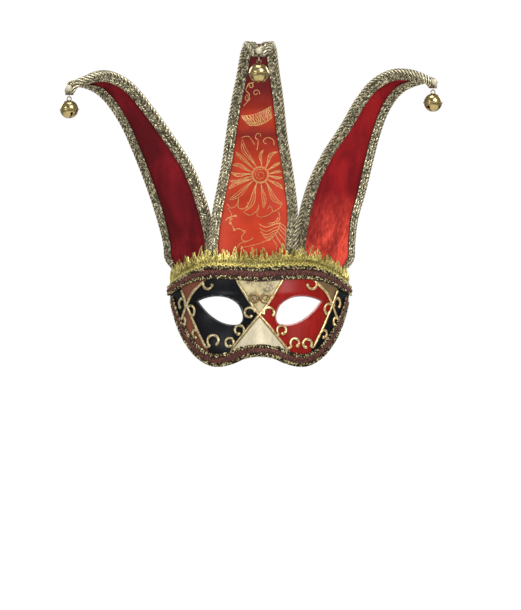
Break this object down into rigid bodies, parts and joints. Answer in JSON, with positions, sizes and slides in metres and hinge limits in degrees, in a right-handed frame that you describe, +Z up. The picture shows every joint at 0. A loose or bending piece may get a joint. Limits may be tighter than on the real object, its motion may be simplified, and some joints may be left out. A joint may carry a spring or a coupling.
{
  "type": "venetian jester half mask",
  "caption": "Half mask of the upper face with painted diamonds, gilt scrolls, a braided rim and tall cloth horns that end in jingle bells.",
  "frame": {"origin": "on the inner face of the nose bridge, where the mask sits on the nose", "axes": "+X to the right seen from the front, +Y to the back of the head, +Z up"},
  "size_m": [0.3381, 0.1112, 0.2869],
  "materials": {
    "paint": "satin paint on a moulded papier-mache shell: black and red diamonds, cream between",
    "gilt": "gold paint on piped relief paste",
    "gimp": "maroon gimp braid with antique gold loops",
    "gold_trim": "gold metallic picot trim",
    "velvet": "crimson velvet on a stiff backing",
    "brocade": "red satin brocade with gold flowers",
    "metallic_braid": "knitted antique gold braid",
    "thread": "sewing thread",
    "brass": "polished brass",
    "pearl": "pearl lacquer"
  },
  "bodies": {
    "mask": {"shell": "paint", "gilt_center": "gilt", "gilt_left": "gilt", "gilt_right": "gilt", "braid_top": "gimp", "braid_bottom": "gimp", "crown_trim": "gold_trim", "horn_left": "velvet", "binding_left_l": "metallic_braid", "binding_left_r": "metallic_braid", "thread_left": "thread", "pearl_left": "pearl", "horn_center": "brocade", "binding_center_l": "metallic_braid", "binding_center_r": "metallic_braid", "thread_center": "thread", "pearl_center": "pearl", "horn_right": "velvet", "binding_right_l": "metallic_braid", "binding_right_r": "metallic_braid", "thread_right": "thread", "pearl_right": "pearl"},
    "bell_left": {"bell_left": "brass", "pellet_left": "brass"},
    "bell_center": {"bell_center": "brass", "pellet_center": "brass"},
    "bell_right": {"bell_right": "brass", "pellet_right": "brass"}
  },
  "joints": [
    {"name": "bell_left_swing", "type": "hinge", "parent": "mask", "child": "bell_left", "pos_m": [-0.16781, -0.0125, 0.19145], "axis": [0, 1, 0], "range_deg": [-60, 60]},
    {"name": "bell_center_swing", "type": "hinge", "parent": "mask", "child": "bell_center", "pos_m": [-0.0005, -0.0307, 0.22266], "axis": [0, 1, 0], "range_deg": [-60, 60]},
    {"name": "bell_right_swing", "type": "hinge", "parent": "mask", "child": "bell_right", "pos_m": [0.15288, -0.01411, 0.19725], "axis": [0, 1, 0], "range_deg": [-60, 60]}
  ]
}
